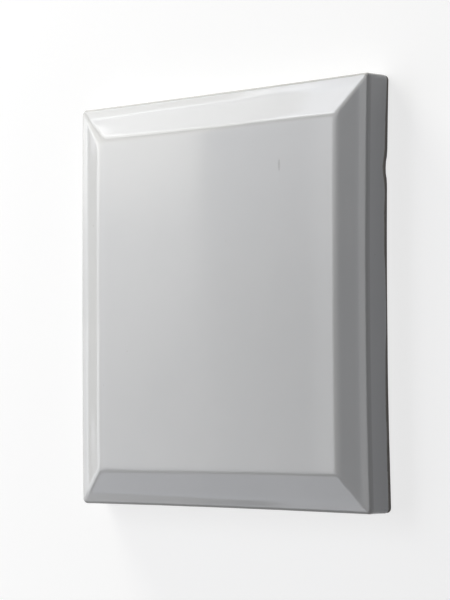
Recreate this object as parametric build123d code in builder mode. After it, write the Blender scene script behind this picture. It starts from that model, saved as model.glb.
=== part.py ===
from build123d import *
import os

# A square bevelled wall tile: one piece of clay, pressed, glazed and fired.
# It lies on its back with the glazed face up. +Y is the top of the tile on a wall.

# Driving dimensions, in millimetres
tile_side = 150.0  # square outline, side wall to side wall
edge_thickness = 10.5  # side walls, from the back to the rim
lip_width = 4.0  # easy slope in plan, from the rim to the foot of the bevel
lip_rise = 0.55  # foot of the bevel above the rim
bevel_width = 9.0  # each bevel in plan, from its foot to the panel
bevel_rise = 1.95  # flat panel above the foot of the bevel

corner_radius = 2.0  # upright corners of the outline
edge_radius = 1.2  # roll of the lip into the side walls
back_chamfer = 0.6  # fettled edge round the back
foot_corner_radius = 2.2  # corners of the bevel's foot, in plan
panel_corner_radius = 2.5  # corners of the flat panel, in plan
arris_radius = 14.0  # soft arris between the bevel and the panel

level_band = 0.01  # half the band of heights in which an edge counts as the rim

key_depth = 1.0  # grooves across the back, which the adhesive fills
key_width = 5.0  # mouth of a groove, at the back face
key_pitch = 14.0  # from one groove to the next
key_inset = 9.0  # plain rim between the grooves and the side walls
key_draft = 20.0  # slope of the groove walls in degrees, which frees the press

# Sizes that follow from these
foot_side = tile_side - 2 * lip_width
panel_side = foot_side - 2 * bevel_width
foot_height = edge_thickness + lip_rise
face_height = foot_height + bevel_rise
key_length = tile_side - 2 * key_inset
key_count = int((key_length - key_width) // key_pitch) + 1

with BuildPart() as tile:
    # The slab, from the back up to the rim
    with BuildSketch(Plane.XY):
        RectangleRounded(tile_side, tile_side, corner_radius)
    extrude(amount=edge_thickness)
    chamfer(tile.faces().sort_by(Axis.Z)[0].edges(), back_chamfer)

    # The face: an easy lip, then a bevel on each side, mitred at the corners, up to the flat panel
    with BuildSketch(Plane.XY.offset(edge_thickness)):
        RectangleRounded(tile_side, tile_side, corner_radius)
    with BuildSketch(Plane.XY.offset(foot_height)):
        RectangleRounded(foot_side, foot_side, foot_corner_radius)
    with BuildSketch(Plane.XY.offset(face_height)):
        RectangleRounded(panel_side, panel_side, panel_corner_radius)
    loft(ruled=True)

    # The glaze leaves no sharp line at the arris or round the rim
    fillet(tile.faces().sort_by(Axis.Z)[-1].edges(), arris_radius)
    rim = tile.edges().filter_by_position(Axis.Z, edge_thickness - level_band, edge_thickness + level_band)
    fillet(rim, edge_radius)

    # The key: parallel grooves across the back, stopped short of the side walls
    with BuildSketch(Plane.XY):
        with GridLocations(0, key_pitch, 1, key_count):
            SlotOverall(key_length, key_width)
    extrude(amount=key_depth, taper=key_draft, mode=Mode.SUBTRACT)

tile.part.label = "bevelled_tile"

os.makedirs("parts", exist_ok=True)
export_step(tile.part, "parts/bevelled_tile.step")
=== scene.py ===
import bpy
import math
import numpy as np
from mathutils import Matrix, Vector


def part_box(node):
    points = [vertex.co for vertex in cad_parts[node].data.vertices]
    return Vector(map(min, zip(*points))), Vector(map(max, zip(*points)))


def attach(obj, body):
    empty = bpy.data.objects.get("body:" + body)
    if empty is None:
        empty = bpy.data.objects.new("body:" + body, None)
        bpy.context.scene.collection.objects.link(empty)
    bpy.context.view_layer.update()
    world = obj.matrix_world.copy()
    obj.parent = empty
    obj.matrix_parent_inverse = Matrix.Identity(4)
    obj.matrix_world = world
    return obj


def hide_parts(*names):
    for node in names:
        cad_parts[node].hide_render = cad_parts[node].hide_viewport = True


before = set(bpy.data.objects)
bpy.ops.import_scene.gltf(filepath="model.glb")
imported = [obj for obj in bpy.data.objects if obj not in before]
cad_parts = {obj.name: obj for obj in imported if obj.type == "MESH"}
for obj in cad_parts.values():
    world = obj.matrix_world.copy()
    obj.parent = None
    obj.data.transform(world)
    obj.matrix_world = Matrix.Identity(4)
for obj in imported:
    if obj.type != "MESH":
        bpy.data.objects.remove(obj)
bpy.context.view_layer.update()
scene = bpy.context.scene
scene.view_settings.view_transform = "Standard"
print("frame loaded:", sorted(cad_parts))

# tile

tileForm = {  # metres, the same sizes as the solid
    "edge": 0.0105,  # side wall, back to rim
    "lip": 0.0040,  # easy slope in plan, rim to the bevel's foot
    "lipRise": 0.00055,
    "bevel": 0.0090,  # bevel in plan
    "edgeRoll": 0.0012,  # lip rolling over into the side wall
    "cornerRoll": 0.0020,  # upright corners
    "backRoll": 0.0006,  # fettled edge round the back
    "arrisSoft": 0.0046,  # width of the glaze-softened arris at the panel
    "coveSoft": 0.0026,  # width of the glaze-filled cove at the bevel's foot
    "mitres": {  # softness of each mitre at the rim, at the bevel's foot and at the panel
        "upperLeft": (0.0008, 0.0020, 0.0050),
        "upperRight": (0.0008, 0.0014, 0.0018),
        "lowerLeft": (0.0010, 0.0024, 0.0020),
        "lowerRight": (0.0010, 0.0018, 0.0016),
    },
    "crown": 0.00010,  # the panel sinks this much towards its edges
    "wave": 0.000010,  # slow waves in the panel's glaze
    "waveSpan": 0.052,
    "lipWave": 0.00003,  # and on the lip and bevel
    "lipWaveSpan": 0.034,
    "drift": 0.00014,  # the bevels' edges aren't ruled lines
    "driftSpan": 0.060,
    "driftIn": 0.0040,  # it grows to this distance from the side wall
    "waist": {"right": 0.0013, "top": 0.0002, "bottom": 0.0003},  # sides pulled in between their corners
    "leftBow": 0.0005,  # the left side's corners pulled in
    "wallWave": 0.00010,  # uneven side walls
    "wallWaveSpan": 0.030,
    "wallWaveIn": 0.0040,  # it grows to this depth below the rim
    "glazeEdge": 0.0015,  # height where the glaze stops on the side walls
    "glazeEdgeWave": 0.0005,
    "glazeThick": 0.00018,  # step from the glaze down to the bare body
    "glazeBead": 0.00024,  # height of the rounded bead it ends in
    "bareLeast": 0.00025,  # bare body always left above the back's roll
}
glazeAndShadeWidths = {  # widths of the places where the glaze runs thin or gathers, and where the rim's painted shade reaches
    "arris": 0.0014,
    "rim": 0.0014,
    "hip": 0.0009,  # along the mitres
    "hipIn": 0.0040,
    "pool": 0.0013,  # in the cove
    "bead": 0.0006,
}
gridSteps = {"lip": 8, "cove": 9, "bevel": 16, "arris": 13, "margin": 5, "panel": 60}
chipForm = {  # knocked back edge on the right side
    "y": 0.0430,
    "long": 0.0052,
    "high": 0.0026,
    "deep": 0.0011,
    "band": 0.0040,  # only this close to the right side
    "bare": 0.0011,  # the glaze stops this much higher there
}
keyForm = {  # grooves across the back
    "depth": 0.0010,
    "width": 0.0050,
    "pitch": 0.0140,
    "inset": 0.0090,
    "wall": 0.00045,  # plan width of the sloping groove wall
    "rim": 0.0060,  # plain rim outside the grooved field
}


def softStep(a):
    a = np.clip(a, 0.0, 1.0)
    return a * a * (3.0 - 2.0 * a)


def bell(a):
    return np.exp(-a * a)


def softMin(a, b, k):  # the smaller of two insets, rounded where they meet
    h = np.clip(k - np.abs(a - b), 0.0, None) / k
    return np.minimum(a, b) - h * h * k * 0.25


def slowWaves(x, y, length, turn):  # smooth unevenness between -1 and 1, the same every run
    total = np.zeros_like(x)
    for k in range(6):
        a = turn + 2.39996 * k
        f = 2.0 * math.pi / length * (0.72 + 0.13 * k)
        total = total + np.sin(f * (x * math.cos(a) + y * math.sin(a)) + 1.7 * k * k + 5.0 * turn)
    return total / 4.0


def ramp(a, b, n):
    return np.linspace(a, b, n, endpoint=False)


low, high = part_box("bevelled_tile")
half = float(high[0] - low[0]) / 2.0
topZ = float(high[2])
rise = topZ - tileForm["edge"]
lipTilt = math.atan2(tileForm["lipRise"], tileForm["lip"])
rollInset = tileForm["edgeRoll"] * (1.0 - math.sin(lipTilt))  # where the roll leaves the lip


def faceProfile():  # height above the rim, by distance in from the side wall
    t = tileForm
    inset = np.linspace(0.0, 0.030, 3001)  # well past the arris, in steps of 0.01 mm
    lipSlope = t["lipRise"] / t["lip"]
    bevelSlope = (rise - t["lipRise"]) / t["bevel"]
    foot = softStep((inset - t["lip"] + t["coveSoft"] / 2) / t["coveSoft"])
    arris = softStep((inset - t["lip"] - t["bevel"] + t["arrisSoft"] / 2) / t["arrisSoft"])
    slope = lipSlope + (bevelSlope - lipSlope) * foot - bevelSlope * arris
    height = np.concatenate([[0.0], np.cumsum(slope[1:])])
    return inset, height * rise / height[-1]


profileInset, profileHeight = faceProfile()


def waisted(x, y):  # the firing drew the sides a little out of line
    w = tileForm["waist"]
    px, py = x / half, y / half
    pullRight = w["right"] * (1.0 - py * py) * np.clip(px, 0.0, None) ** 3
    pullLeft = tileForm["leftBow"] * py * py * np.clip(-px, 0.0, None) ** 3
    pullY = np.where(y > 0, w["top"], w["bottom"]) * (1.0 - px * px) * np.abs(py) ** 3
    return x - pullRight + pullLeft, y - np.sign(y) * pullY


def roundedCorner(x, y):  # bends the square corners of the grid onto the upright corner radius
    r = tileForm["cornerRoll"]
    u, v = np.abs(x) - (half - r), np.abs(y) - (half - r)
    inCorner = (u > 0) & (v > 0)
    length = np.where(inCorner, np.hypot(u, v), 1.0)
    s = np.where(inCorner, np.maximum(u, v) / length, 1.0)
    nx = np.where(inCorner, np.sign(x) * (half - r + u * s), x)
    ny = np.where(inCorner, np.sign(y) * (half - r + v * s), y)
    return nx, ny


def faceLines():
    t = tileForm
    foot, top = t["lip"], t["lip"] + t["bevel"]
    cove, arris = t["coveSoft"] / 2, t["arrisSoft"] / 2
    inner = top + arris + 0.003
    insets = np.concatenate([
        ramp(rollInset, foot - cove, gridSteps["lip"]),
        ramp(foot - cove, foot + cove, gridSteps["cove"]),
        ramp(foot + cove, top - arris, gridSteps["bevel"]),
        ramp(top - arris, top + arris, gridSteps["arris"]),
        ramp(top + arris, inner, gridSteps["margin"]),
    ])
    panel = np.linspace(-(half - inner), half - inner, gridSteps["panel"])
    return np.concatenate([-half + insets, panel, (half - insets)[::-1]])


def faceInset(x, y):  # distance in from the nearest side, rounded at the mitres
    t = tileForm
    dx, dy = half - np.abs(x), half - np.abs(y)
    stops = [0.0, t["lip"], t["lip"] + t["bevel"]]
    upper, left = y > 0, x <= 0
    where = {
        "upperLeft": upper & left,
        "upperRight": upper & ~left,
        "lowerLeft": ~upper & left,
        "lowerRight": ~upper & ~left,
    }
    soft = np.zeros_like(x)
    for name, here in where.items():
        soft = np.where(here, np.interp(np.minimum(dx, dy), stops, t["mitres"][name]), soft)
    d = softMin(dx, dy, soft)
    return d + t["drift"] * slowWaves(x, y, t["driftSpan"], 0.7) * softStep(d / t["driftIn"])


def faceHeight(x, y, d):
    t = tileForm
    z = t["edge"] + np.interp(d, profileInset, profileHeight)
    onPanel = softStep((d - t["lip"]) / t["bevel"])
    z = z - t["crown"] * onPanel * (x * x + y * y) / (half * half)
    z = z - t["wave"] * onPanel * (1.0 + slowWaves(x, y, t["waveSpan"], 2.1))
    return z - t["lipWave"] * (1.0 - onPanel) * (1.0 + slowWaves(x, y, t["lipWaveSpan"], 4.4))


def keyRows():
    k = keyForm
    length = 2 * half - 2 * k["inset"]
    count = int((length - k["width"]) / k["pitch"] + 1e-9) + 1
    first = -k["pitch"] * (count - 1) / 2
    return length, count, first


def keyHeight(x, y):  # depth of the grooves at a point of the back
    k = keyForm
    length, count, first = keyRows()
    row = np.clip(np.round((y - first) / k["pitch"]), 0, count - 1)
    dy = y - (first + row * k["pitch"])
    r = k["width"] / 2
    dx = np.clip(np.abs(x) - (length / 2 - r), 0.0, None)
    outside = np.hypot(dx, dy) - r
    return k["depth"] * softStep(-outside / k["wall"])


def keyLines():
    k = keyForm
    length, count, first = keyRows()
    reach = half - k["rim"]
    r, w = k["width"] / 2, k["wall"]
    steps = [0.0, 0.4 * r, 0.7 * r, r - 1.6 * w, r - w, r - 0.75 * w, r - 0.5 * w, r - 0.25 * w]
    steps += [r, r + 0.8 * w, r + 3.0 * w]
    across = [-reach, reach]
    for row in range(count):
        y = first + row * k["pitch"]
        for step in steps:
            across += [y - step, y + step]
        across.append(y + k["pitch"] / 2)
    end = length / 2
    along = list(np.linspace(-(end - 0.006), end - 0.006, 34))
    for share in (1.8, 1.36, 1.08, 0.88, 0.72, 0.6, 0.48, 0.36, 0.26, 0.16, 0.08, 0.0, -0.12, -0.4):
        along += [end - share * r, -end + share * r]
    along += [-reach, reach]
    across = np.unique(np.round(np.array(across), 7))
    along = np.unique(np.round(np.array(along), 7))
    return along, across[np.abs(across) <= reach + 1e-9]


def gridFaces(nx, ny, first, flip):
    i, j = np.meshgrid(np.arange(nx - 1), np.arange(ny - 1))
    a = first + (j * nx + i).ravel()
    quads = np.stack([a, a + 1, a + nx + 1, a + nx], axis=1)
    return quads[:, ::-1] if flip else quads


def rimOfGrid(nx, ny, first):  # the grid's outer vertices in order, anticlockwise from above
    bottom = np.arange(nx - 1)
    right = nx - 1 + nx * np.arange(ny - 1)
    top = nx * (ny - 1) + np.arange(nx - 1, 0, -1)
    left = nx * np.arange(ny - 1, 0, -1)
    return first + np.concatenate([bottom, right, top, left])


def zipLoops(points, outer, inner):  # fills the flat rim between two loops that have different counts
    def angleOf(loop):
        return np.unwrap(np.arctan2(points[loop][:, 1], points[loop][:, 0]))

    a, b = angleOf(outer), angleOf(inner)
    start = int(np.argmin(np.abs(np.exp(1j * b) - np.exp(1j * a[0]))))
    inner = np.roll(inner, -start)
    b = angleOf(inner)
    b = b - 2 * math.pi * np.round((b[0] - a[0]) / (2 * math.pi))
    a, b = np.append(a, a[0] + 2 * math.pi), np.append(b, b[0] + 2 * math.pi)
    outer, inner = np.append(outer, outer[0]), np.append(inner, inner[0])
    faces, i, j = [], 0, 0
    while i < len(outer) - 1 or j < len(inner) - 1:
        if j == len(inner) - 1 or (i < len(outer) - 1 and a[i + 1] <= b[j + 1]):
            faces.append((outer[i + 1], outer[i], inner[j]))
            i += 1
        else:
            faces.append((outer[i], inner[j], inner[j + 1]))
            j += 1
    return faces


def wallRings(rimZ, glazeEdge):  # inset, height, glazed, and the weight for glaze thinness and painted shade, down the side wall
    t = tileForm
    r = t["edgeRoll"]
    centreZ = rimZ - r * math.cos(lipTilt)
    rings = []
    # the roll round the rim gets the full weight, which paints shade on it
    for a in np.linspace(math.pi / 2 - lipTilt, 0.0, 9)[1:]:
        rings.append((r * (1 - math.cos(a)), centreZ + r * math.sin(a), True, 1.0))
    bead = t["glazeBead"]
    for s in np.linspace(0.0, 1.0, 9)[1:]:
        rings.append((0.0, centreZ + s * (glazeEdge + bead - centreZ), True, 0.6 * (1 - s) ** 3))
    for a in np.linspace(0.0, math.pi / 2, 4)[1:]:  # the glaze ends in a rounded bead
        rings.append((t["glazeThick"] * (1 - math.cos(a)), glazeEdge + bead * (1 - math.sin(a)), True, 0.2))
    # the bare foot and the back's roll get high weights, which paint shade on them
    for s in (0.4, 1.0):
        rings.append((t["glazeThick"], glazeEdge + s * (t["backRoll"] - glazeEdge), False, 1.0))
    for a in np.linspace(0.0, math.pi / 2, 5)[1:]:
        inset = t["glazeThick"] + t["backRoll"] * (1 - math.cos(a))
        rings.append((inset, t["backRoll"] * (1 - math.sin(a)) + 0 * rimZ, False, 0.8))
    return rings


def chipped(x, y, z):  # the knocked place, as a pull towards the middle
    c = chipForm
    here = bell((y - c["y"]) / c["long"] * 1.6) * softStep((c["high"] - z) / c["high"] * 1.4)
    ragged = 0.75 + 0.25 * slowWaves(y, z * 3.0, 0.004, 0.9)
    return np.where(x > half - c["band"], x - c["deep"] * here * ragged, x)


def buildTile():
    t, widthOf, chip = tileForm, glazeAndShadeWidths, chipForm
    lines = faceLines()
    n = len(lines)
    gx, gy = np.meshgrid(lines, lines)
    gx, gy = gx.ravel(), gy.ravel()
    d = faceInset(gx, gy)
    gz = faceHeight(gx, gy, d)
    rim = rimOfGrid(n, n, 0)
    points, bodyFaces, glazeFaces = [], [], []

    top = t["lip"] + t["bevel"]
    hip = bell((np.abs(gx) - np.abs(gy)) / widthOf["hip"]) * softStep((top - d) / widthOf["hipIn"])
    # near the rim this weight sets in the painted shade along the lip's outer edge
    thin = np.maximum(0.5 * hip, 0.9 * bell(d / widthOf["rim"]))
    thin = np.maximum(0.6 * bell((d - top) / widthOf["arris"]), thin)
    pool = bell((d - t["lip"]) / widthOf["pool"])
    thinAndShade, pooling = [thin], [pool]
    rx, ry = roundedCorner(gx, gy)
    points.append(np.stack([*waisted(rx, ry), gz], axis=1))
    glazeFaces.append(gridFaces(n, n, 0, False))

    # rings down the side wall, from the lip's roll to the back
    ex, ey = gx[rim], gy[rim]
    run = np.concatenate([[0.0], np.cumsum(np.hypot(np.diff(ex), np.diff(ey)))])
    around = 2 * math.pi * run / (run[-1] + 0.0003)
    sx, sy = 0.09 * np.cos(around), 0.09 * np.sin(around)  # a closed path, so that the waves meet
    edgeWave = slowWaves(sx, sy, 0.050, 1.3) + 0.3 * slowWaves(sx, sy, 0.013, 3.9)
    knocked = np.where(ex > half - chip["band"], bell((ey - chip["y"]) / chip["long"] * 1.3), 0.0)
    glazeEdge = t["glazeEdge"] + t["glazeEdgeWave"] * edgeWave + chip["bare"] * knocked
    glazeEdge = np.maximum(glazeEdge, t["backRoll"] + t["bareLeast"])
    r = t["cornerRoll"]
    ux, uy = np.abs(ex) - (half - r), np.abs(ey) - (half - r)
    corner = (ux > 0) & (uy > 0)
    limit = half - rollInset - 1e-9
    previous = rim
    first = len(gx)
    for inset, z, glazed, thinAndShadeHere in wallRings(gz[rim], glazeEdge):
        grow = (r - inset) / (r - rollInset)
        flatX = np.where(np.abs(ex) >= limit, np.sign(ex) * (half - inset), ex)
        flatY = np.where(np.abs(ey) >= limit, np.sign(ey) * (half - inset), ey)
        px = np.where(corner, np.sign(ex) * (half - r + ux * grow), flatX)
        py = np.where(corner, np.sign(ey) * (half - r + uy * grow), flatY)
        px, py = roundedCorner(px, py)
        px = chipped(px, py, z)
        px, py = waisted(px, py)
        depth = np.clip((t["edge"] - z) / t["wallWaveIn"], 0.0, 1.0)
        pull = t["wallWave"] * depth * (1.0 + slowWaves(sx, sy + 1.5 * z, t["wallWaveSpan"], 0.4)) * 0.5
        reach = np.maximum(np.abs(px), np.abs(py))
        px, py = px * (1.0 - pull / reach), py * (1.0 - pull / reach)
        points.append(np.stack([px, py, z + 0 * px], axis=1))
        thinAndShade.append(np.full(len(rim), thinAndShadeHere))
        pooling.append(bell((z - glazeEdge) / widthOf["bead"]) if glazed else np.zeros(len(rim)))
        ring = first + np.arange(len(rim))
        first += len(rim)
        quads = np.stack([previous, ring, np.roll(ring, -1), np.roll(previous, -1)], axis=1)
        (glazeFaces if glazed else bodyFaces).append(quads)
        previous = ring

    # the back, with its grooves
    along, across = keyLines()
    bx, by = np.meshgrid(along, across)
    bx, by = bx.ravel(), by.ravel()
    bz = keyHeight(bx, by)
    points.append(np.stack([bx, by, bz], axis=1))
    thinAndShade.append(np.zeros(len(bx)))
    pooling.append(np.clip(bz / keyForm["depth"], 0.0, 1.0))
    bodyFaces.append(gridFaces(len(along), len(across), first, True))
    points = np.concatenate(points)
    rimFaces = zipLoops(points, previous, rimOfGrid(len(along), len(across), first))

    quads = np.concatenate(glazeFaces + bodyFaces)
    glazeCount = sum(len(f) for f in glazeFaces)
    mesh = bpy.data.meshes.new("tile")
    faces = quads.tolist() + [tuple(int(v) for v in f) for f in rimFaces]
    mesh.from_pydata(points.tolist(), [], faces)
    material = np.ones(len(mesh.polygons), dtype=np.int32)
    material[:glazeCount] = 0
    mesh.polygons.foreach_set("material_index", material)
    mesh.polygons.foreach_set("use_smooth", np.ones(len(mesh.polygons), dtype=bool))
    # the thin layer also weights the painted shade on the rim's roll, the bare foot and the back's roll
    for name, values in (("thin", thinAndShade), ("pool", pooling)):
        layer = mesh.attributes.new(name, "FLOAT", "POINT")
        layer.data.foreach_set("value", np.concatenate(values).astype(np.float32))
    mesh.validate()
    mesh.update()
    piece = bpy.data.objects.new("tile", mesh)
    scene.collection.objects.link(piece)
    print("tile:", len(points), "points,", sum(len(p.vertices) - 2 for p in mesh.polygons), "triangles")
    return piece


tile = buildTile()
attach(tile, "root")
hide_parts("bevelled_tile")

# shader helpers


def newGroup(name, inputs, outputs):
    group = bpy.data.node_groups.new(name, "ShaderNodeTree")
    for label, kind, value in inputs:
        socket = group.interface.new_socket(label, in_out="INPUT", socket_type=kind)
        if value is not None:
            socket.default_value = value
    for label, kind in outputs:
        group.interface.new_socket(label, in_out="OUTPUT", socket_type=kind)
    return group, group.nodes.new("NodeGroupInput"), group.nodes.new("NodeGroupOutput")


def addNode(tree, kind, values=None, **settings):
    node = tree.nodes.new(kind)
    for name, value in settings.items():
        setattr(node, name, value)
    for socket, value in (values or {}).items():
        if isinstance(value, bpy.types.NodeSocket):
            tree.links.new(value, node.inputs[socket])
        else:
            node.inputs[socket].default_value = value
    return node


def maths(tree, operation, a, b):
    return addNode(tree, "ShaderNodeMath", {0: a, 1: b}, operation=operation).outputs[0]


def blend(tree, share, a, b):
    return addNode(tree, "ShaderNodeMix", {0: share, 6: a, 7: b}, data_type="RGBA").outputs[2]


def span(tree, value, a, b):  # a share of 0 to 1 spread over a to b
    return addNode(tree, "ShaderNodeMapRange", {"Value": value, "To Min": a, "To Max": b}).outputs[0]


def firedMottle():  # slow clouds of tone that the kiln leaves
    tree, start, end = newGroup("firedMottle", [
        ("Vector", "NodeSocketVector", None),
        ("Scale", "NodeSocketFloat", 30.0),
        ("Spread", "NodeSocketFloat", 0.2),
    ], [("Tone", "NodeSocketFloat")])
    noise = addNode(tree, "ShaderNodeTexNoise", {
        "Vector": start.outputs["Vector"],
        "Scale": start.outputs["Scale"],
        "Detail": 3.0,
        "Roughness": 0.55,
    })
    ease = addNode(tree, "ShaderNodeMapRange", {
        "Value": noise.outputs[0],
        "From Min": maths(tree, "SUBTRACT", 0.5, start.outputs["Spread"]),
        "From Max": maths(tree, "ADD", 0.5, start.outputs["Spread"]),
    }, interpolation_type="SMOOTHSTEP")
    tree.links.new(ease.outputs[0], end.inputs["Tone"])
    return tree


def pinholes():  # scattered round spots, in a share of the cells
    tree, start, end = newGroup("pinholes", [
        ("Vector", "NodeSocketVector", None),
        ("Scale", "NodeSocketFloat", 300.0),
        ("Radius", "NodeSocketFloat", 0.2),
        ("Share", "NodeSocketFloat", 0.1),
    ], [("Mask", "NodeSocketFloat")])
    cells = addNode(tree, "ShaderNodeTexVoronoi", {
        "Vector": start.outputs["Vector"],
        "Scale": start.outputs["Scale"],
    })
    spot = addNode(tree, "ShaderNodeMapRange", {
        "Value": cells.outputs["Distance"],
        "From Min": start.outputs["Radius"],
        "From Max": maths(tree, "MULTIPLY", 0.4, start.outputs["Radius"]),
    }, interpolation_type="SMOOTHSTEP")
    pick = addNode(tree, "ShaderNodeSeparateColor", {"Color": cells.outputs["Color"]})
    chosen = maths(tree, "LESS_THAN", pick.outputs[0], start.outputs["Share"])
    tree.links.new(maths(tree, "MULTIPLY", spot.outputs[0], chosen), end.inputs["Mask"])
    return tree


def surfaceGrain():  # fine unevenness for bump
    tree, start, end = newGroup("surfaceGrain", [
        ("Vector", "NodeSocketVector", None),
        ("Scale", "NodeSocketFloat", 400.0),
        ("Coarseness", "NodeSocketFloat", 0.5),
    ], [("Height", "NodeSocketFloat")])
    noise = addNode(tree, "ShaderNodeTexNoise", {
        "Vector": start.outputs["Vector"],
        "Scale": start.outputs["Scale"],
        "Detail": 4.0,
        "Roughness": start.outputs["Coarseness"],
    })
    tree.links.new(noise.outputs[0], end.inputs["Height"])
    return tree


mottleGroup = firedMottle()
holeGroup = pinholes()
grainGroup = surfaceGrain()


def mottle(tree, coords, scale, spread):
    values = {"Vector": coords, "Scale": scale, "Spread": spread}
    return addNode(tree, "ShaderNodeGroup", values, node_tree=mottleGroup).outputs["Tone"]


def holes(tree, coords, scale, radius, share):
    values = {"Vector": coords, "Scale": scale, "Radius": radius, "Share": share}
    return addNode(tree, "ShaderNodeGroup", values, node_tree=holeGroup).outputs["Mask"]


def grain(tree, coords, scale, coarseness):
    values = {"Vector": coords, "Scale": scale, "Coarseness": coarseness}
    return addNode(tree, "ShaderNodeGroup", values, node_tree=grainGroup).outputs["Height"]


def newMaterial(name):
    material = bpy.data.materials.new(name)
    material.use_nodes = True
    tree = material.node_tree
    return material, tree, tree.nodes["Principled BSDF"]


# white glaze

glazeLook = {
    "white": (0.720, 0.720, 0.715, 1.0),
    "cloud": (0.704, 0.706, 0.703, 1.0),
    "thin": (0.655, 0.645, 0.620, 1.0),  # the body shows through on the arrises
    "rim": (0.400, 0.392, 0.378, 1.0),  # painted shade: the roll round the rim darker
    "pool": (0.732, 0.737, 0.738, 1.0),  # thicker in the cove
    "speck": (0.400, 0.365, 0.310, 1.0),
    "markTone": (0.430, 0.430, 0.430, 1.0),
    "mark": (0.0343, 0.0460),  # a short scar in the glaze, upper right on the panel
    "markSize": (0.00075, 0.0026),
    "shares": {"thin": 0.22, "rim": 0.32, "pool": 0.60, "speck": 0.45, "mark": 0.55},
    "rimShadeFrom": 0.72,  # thin weight from which the painted shade on the rim sets in
    "clouds": (26.0, 0.16),  # scale, spread
    "specks": (150.0, 0.055, 0.10),  # scale, radius, share of the cells
    "sheen": (70.0, 0.25),
    "rough": (0.045, 0.075),
    "markRough": 0.25,
    "ior": 1.56,
    "peelGrain": (330.0, 0.35),
    "peel": 0.0000016,  # height of the orange peel
    "pit": 0.00003,
}


def whiteGlaze():
    g, share = glazeLook, glazeLook["shares"]
    material, tree, shader = newMaterial("whiteGlaze")
    coords = addNode(tree, "ShaderNodeTexCoord").outputs["Object"]
    thin = addNode(tree, "ShaderNodeAttribute", attribute_name="thin").outputs["Fac"]
    pool = addNode(tree, "ShaderNodeAttribute", attribute_name="pool").outputs["Fac"]
    clouds = mottle(tree, coords, *g["clouds"])
    specks = holes(tree, coords, *g["specks"])
    place = addNode(tree, "ShaderNodeMapping", {
        "Vector": coords,
        "Location": (*g["mark"], 0.0),
        "Scale": (*g["markSize"], 1.0),
    }, vector_type="TEXTURE")
    spot = addNode(tree, "ShaderNodeTexGradient", {"Vector": place.outputs[0]}, gradient_type="SPHERICAL")
    mark = addNode(tree, "ShaderNodeMapRange", {
        "Value": spot.outputs["Fac"],
        "From Min": 0.05,
        "From Max": 0.55,
    }, interpolation_type="SMOOTHSTEP").outputs[0]
    colour = blend(tree, clouds, g["white"], g["cloud"])
    colour = blend(tree, maths(tree, "MULTIPLY", thin, share["thin"]), colour, g["thin"])
    # painted shade: the roll round the rim and the lip's outer edge darkened where thin is high
    rimShade = addNode(tree, "ShaderNodeMapRange", {"Value": thin, "From Min": g["rimShadeFrom"], "From Max": 1.0})
    colour = blend(tree, maths(tree, "MULTIPLY", rimShade.outputs[0], share["rim"]), colour, g["rim"])
    colour = blend(tree, maths(tree, "MULTIPLY", pool, share["pool"]), colour, g["pool"])
    colour = blend(tree, maths(tree, "MULTIPLY", specks, share["speck"]), colour, g["speck"])
    colour = blend(tree, maths(tree, "MULTIPLY", mark, share["mark"]), colour, g["markTone"])
    tree.links.new(colour, shader.inputs["Base Color"])
    gloss = span(tree, mottle(tree, coords, *g["sheen"]), *g["rough"])
    gloss = maths(tree, "ADD", gloss, maths(tree, "MULTIPLY", mark, g["markRough"]))
    tree.links.new(gloss, shader.inputs["Roughness"])
    shader.inputs["IOR"].default_value = g["ior"]
    peel = addNode(tree, "ShaderNodeBump", {
        "Height": grain(tree, coords, *g["peelGrain"]),
        "Distance": g["peel"],
    })
    pits = addNode(tree, "ShaderNodeBump", {
        "Height": maths(tree, "ADD", mark, specks),
        "Distance": g["pit"],
        "Normal": peel.outputs["Normal"],
    }, invert=True)
    tree.links.new(pits.outputs["Normal"], shader.inputs["Normal"])
    return material


# fired body, bare on the back and along the foot of the side walls

bodyLook = {
    "clay": (0.500, 0.462, 0.405, 1.0),
    "flash": (0.440, 0.392, 0.330, 1.0),  # hotter side of the kiln
    "edgeShade": (0.275, 0.262, 0.248, 1.0),  # dark tone: painted shade along the bare foot and the back's roll, also laid into the pores
    "dust": (0.560, 0.532, 0.485, 1.0),
    "iron": (0.190, 0.145, 0.110, 1.0),
    "grog": (0.640, 0.610, 0.560, 1.0),
    "shares": {"dust": 0.35, "groove": 0.45, "grog": 0.70, "edge": 0.75, "pore": 0.50},
    "clouds": (22.0, 0.22),
    "dusting": (800.0, 0.20),
    "pores": (620.0, 0.30, 0.22),
    "grogs": (380.0, 0.34, 0.14),
    "irons": (520.0, 0.24, 0.05),
    "sheen": (300.0, 0.25),
    "rough": (0.78, 0.94),
    "bodyGrain": (1100.0, 0.60),
    "grain": 0.00005,
    "pore": 0.00016,
}


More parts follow.
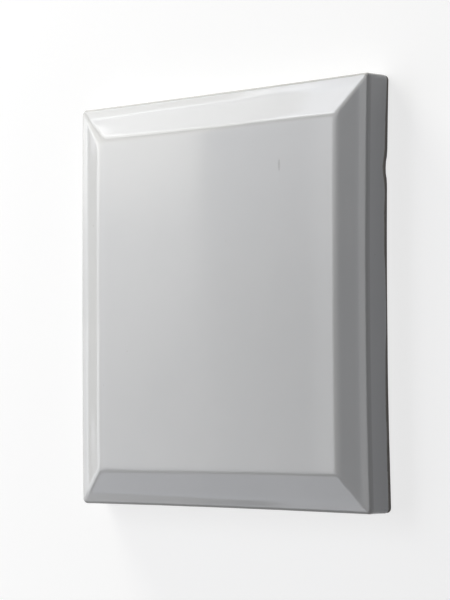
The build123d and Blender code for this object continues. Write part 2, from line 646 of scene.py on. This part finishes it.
def firedBody():
    b, share = bodyLook, bodyLook["shares"]
    material, tree, shader = newMaterial("firedBody")
    coords = addNode(tree, "ShaderNodeTexCoord").outputs["Object"]
    edge = addNode(tree, "ShaderNodeAttribute", attribute_name="thin").outputs["Fac"]
    groove = addNode(tree, "ShaderNodeAttribute", attribute_name="pool").outputs["Fac"]
    pores = holes(tree, coords, *b["pores"])
    dusting = mottle(tree, coords, *b["dusting"])
    grogs = holes(tree, coords, *b["grogs"])
    colour = blend(tree, mottle(tree, coords, *b["clouds"]), b["clay"], b["flash"])
    colour = blend(tree, maths(tree, "MULTIPLY", dusting, share["dust"]), colour, b["dust"])
    colour = blend(tree, maths(tree, "MULTIPLY", groove, share["groove"]), colour, b["dust"])
    colour = blend(tree, maths(tree, "MULTIPLY", grogs, share["grog"]), colour, b["grog"])
    colour = blend(tree, holes(tree, coords, *b["irons"]), colour, b["iron"])
    # painted shade: the bare foot and the back's roll darkened where the tile meets the floor
    colour = blend(tree, maths(tree, "MULTIPLY", edge, share["edge"]), colour, b["edgeShade"])
    # the pores are darkened with the same tone
    colour = blend(tree, maths(tree, "MULTIPLY", pores, share["pore"]), colour, b["edgeShade"])
    tree.links.new(colour, shader.inputs["Base Color"])
    tree.links.new(span(tree, mottle(tree, coords, *b["sheen"]), *b["rough"]), shader.inputs["Roughness"])
    rough = addNode(tree, "ShaderNodeBump", {
        "Height": grain(tree, coords, *b["bodyGrain"]),
        "Distance": b["grain"],
    })
    pitted = addNode(tree, "ShaderNodeBump", {
        "Height": pores,
        "Distance": b["pore"],
        "Normal": rough.outputs["Normal"],
    }, invert=True)
    tree.links.new(pitted.outputs["Normal"], shader.inputs["Normal"])
    return material


tile.data.materials.append(whiteGlaze())
tile.data.materials.append(firedBody())
print("finishes:", [m.name for m in tile.data.materials])

# floor and backdrop, white to the camera and in the glaze

stageLook = {
    "reach": 6.0,
    "drop": 0.0001,  # the floor lies just under the back
    "grey": 0.36,  # what the floor throws back onto the tile
    "glow": 0.76,
    "sky": 0.02,
}


def seenDirectly(tree):  # 1 for the camera, reflections and glass, 0 for the light on the tile
    path = addNode(tree, "ShaderNodeLightPath")
    seen = maths(tree, "ADD", path.outputs["Is Camera Ray"], path.outputs["Is Glossy Ray"])
    values = {0: seen, 1: path.outputs["Is Transmission Ray"]}
    return addNode(tree, "ShaderNodeMath", values, operation="ADD", use_clamp=True).outputs[0]


def buildFloor():
    s, z = stageLook["reach"], -stageLook["drop"]
    mesh = bpy.data.meshes.new("floor")
    corners = [(-s, -s, z), (s, -s, z), (s, s, z), (-s, s, z)]
    mesh.from_pydata(corners, [], [(0, 1, 2, 3)])
    floor = bpy.data.objects.new("floor", mesh)
    scene.collection.objects.link(floor)
    material, tree, shader = newMaterial("paleFloor")
    g = stageLook["grey"]
    shader.inputs["Base Color"].default_value = (g, g, g, 1.0)
    shader.inputs["Roughness"].default_value = 1.0
    shader.inputs["Specular IOR Level"].default_value = 0.0
    shader.inputs["Emission Color"].default_value = (1.0, 1.0, 1.0, 1.0)
    glow = maths(tree, "MULTIPLY", seenDirectly(tree), stageLook["glow"])
    tree.links.new(glow, shader.inputs["Emission Strength"])
    mesh.materials.append(material)


def buildSky():
    world = bpy.data.worlds.new("studio")
    scene.world = world
    world.use_nodes = True
    tree = world.node_tree
    back = tree.nodes["Background"]
    back.inputs["Color"].default_value = (1.0, 1.0, 1.0, 1.0)
    tree.links.new(span(tree, seenDirectly(tree), stageLook["sky"], 1.0), back.inputs["Strength"])


buildFloor()
buildSky()

# lights

warm, cool, plain = (1.035, 1.020, 0.945), (0.965, 0.985, 1.050), (1.0, 1.0, 1.0)
lightPlan = {  # metres from the tile's centre, watts; the low lamps are kept out of reflections
    "key": {
        "place": (-0.66, 0.84, 0.16),
        "aim": (0, 0, 0),
        "size": (0.50, 0.16),
        "watts": 12.6,
        "tint": warm,
        "mirrors": False,
    },
    "left": {
        "place": (-0.90, -0.60, 0.20),
        "aim": (0, 0, 0),
        "size": (0.40, 0.20),
        "watts": 0.6,
        "tint": plain,
        "mirrors": False,
    },
    "front": {
        "place": (1.05, 0.1, 0.16),
        "aim": (0, 0, 0),
        "size": (0.60, 0.20),
        "watts": 1.25,
        "tint": cool,
        "mirrors": False,
    },
    "sill": {  # a line along the left lip
        "place": (-0.843, -0.14, 0.370),
        "aim": (-0.073, -0.14, 0.011),
        "size": (0.32, 0.131),
        "watts": 0.1,
        "tint": plain,
    },
    "brow": {  # a sheen on the left bevel
        "place": (-0.880, 0.06, 0.258),
        "aim": (-0.067, 0.06, 0.012),
        "size": (0.52, 0.15),
        "watts": 0.125,
        "tint": plain,
    },
    "lip": {  # a line along the right lip
        "place": (-0.386, 0.045, 0.900),
        "aim": (0.073, 0.045, 0.011),
        "size": (0.40, 0.147),
        "watts": 0.04,
        "tint": plain,
    },
}
wallPlan = {  # a slanted wall of soft panels to the left, which the glaze mirrors
    "away": (-0.8466, 0.0, 0.5322),
    "up": (0.5322, 0.0, 0.8466),
    "distance": 1.0,
    "gap": 0.002,
    "panels": {  # metres along the wall and up it
        "softbox": {
            "along": (-0.06, 0.75), "up": (-0.2035, 0.2035),
            "watts": 1.24, "tint": plain, "fadeSide": 0.25,
        },
        "crown": {
            "along": (0.085, 0.30), "up": (-0.2035, 0.2035),
            "watts": 0.35, "tint": warm, "fadeSide": 0.40,
        },
        "ridge": {
            "along": (0.40, 0.62), "up": (-0.24, 0.2035),
            "watts": 0.65, "tint": cool,
        },
        "strip": {
            "along": (0.38, 0.78), "up": (0.2036, 0.3436),
            "watts": 0.71, "tint": cool,
        },
        "glint": {
            "along": (0.345, 0.43), "up": (-0.20, 0.36),
            "watts": 0.33, "tint": plain,
        },
        "veil": {
            "along": (-0.31, 0.75), "up": (0.05, 0.35),
            "watts": 0.86, "tint": plain, "fadeTop": 0.75,
        },
        "sheet": {
            "along": (-0.22, 0.24), "up": (-0.26, 0.335),
            "watts": 1.30, "tint": cool,
        },
        "upper": {
            "along": (0.0, 0.75), "up": (0.2085, 0.5985),
            "watts": 1.02, "tint": cool, "fadeSide": 0.33,
        },
        "edge": {
            "along": (-0.20, 0.24), "up": (0.30, 0.40),
            "watts": 0.108, "tint": plain,
        },
        "apron": {
            "along": (-0.48, -0.32), "up": (-0.25, 0.35),
            "watts": 0.5, "tint": cool,
        },
    },
}


def fadeLight(data, plan):  # fades to nothing at one side or towards the upper edge
    data.use_nodes = True
    tree = data.node_tree
    coords = addNode(tree, "ShaderNodeTexCoord")
    split = addNode(tree, "ShaderNodeSeparateXYZ", {"Vector": coords.outputs["UV"]})
    strength = 1.0
    for axis, share in (("X", plan.get("fadeSide")), ("Y", plan.get("fadeTop"))):
        if share:
            ease = addNode(tree, "ShaderNodeMapRange", {
                "Value": split.outputs[axis],
                "From Min": 1.0,
                "From Max": 1.0 - share,
            }, interpolation_type="SMOOTHSTEP")
            strength = maths(tree, "MULTIPLY", ease.outputs[0], strength)
    tree.links.new(strength, tree.nodes["Emission"].inputs["Strength"])


def addLight(name, plan):
    place, aim = Vector(plan["place"]), Vector(plan["aim"])
    away = (place - aim).normalized()
    data = bpy.data.lights.new(name, "AREA")
    data.shape = "RECTANGLE"
    data.size, data.size_y = plan["size"]
    data.energy = plan["watts"]
    data.color = plan["tint"]
    if "fadeSide" in plan or "fadeTop" in plan:
        fadeLight(data, plan)
    lamp = bpy.data.objects.new(name, data)
    lamp.visible_glossy = plan.get("mirrors", True)
    side = Vector((0, 0, 1)).cross(away).normalized()
    up = away.cross(side)
    lamp.matrix_world = Matrix.Translation(place) @ Matrix((side, up, away)).transposed().to_4x4()
    scene.collection.objects.link(lamp)


def panelPlan(panel, row):  # panels hang one behind the other, so that all of them mirror
    (a, b), (c, d) = panel["along"], panel["up"]
    aim = Vector((0, (a + b) / 2, 0)) + Vector(wallPlan["up"]) * ((c + d) / 2)
    place = aim + Vector(wallPlan["away"]) * (wallPlan["distance"] + wallPlan["gap"] * row)
    return {**panel, "place": place, "aim": aim, "size": (b - a, d - c)}


for name, plan in lightPlan.items():
    addLight(name, plan)
for row, (name, panel) in enumerate(wallPlan["panels"].items()):
    addLight(name, panelPlan(panel, row))
print("lights:", list(lightPlan) + list(wallPlan["panels"]))

# camera

cameraPlan = {
    "place": (0.64148, -0.03805, 0.62304),  # metres from the tile's centre
    "aim": (0.0, 0.0, 0.0065),
    "up": (0.02775, 0.99937, 0.02191),
    "lens": 148.0,
    "sensor": 36.0,
}


def addCamera():
    data = bpy.data.cameras.new("view")
    data.lens = cameraPlan["lens"]
    data.sensor_width = cameraPlan["sensor"]
    camera = bpy.data.objects.new("view", data)
    place, aim = Vector(cameraPlan["place"]), Vector(cameraPlan["aim"])
    back = (place - aim).normalized()
    right = Vector(cameraPlan["up"]).cross(back).normalized()
    up = back.cross(right)
    camera.matrix_world = Matrix.Translation(place) @ Matrix((right, up, back)).transposed().to_4x4()
    scene.collection.objects.link(camera)
    scene.camera = camera


addCamera()
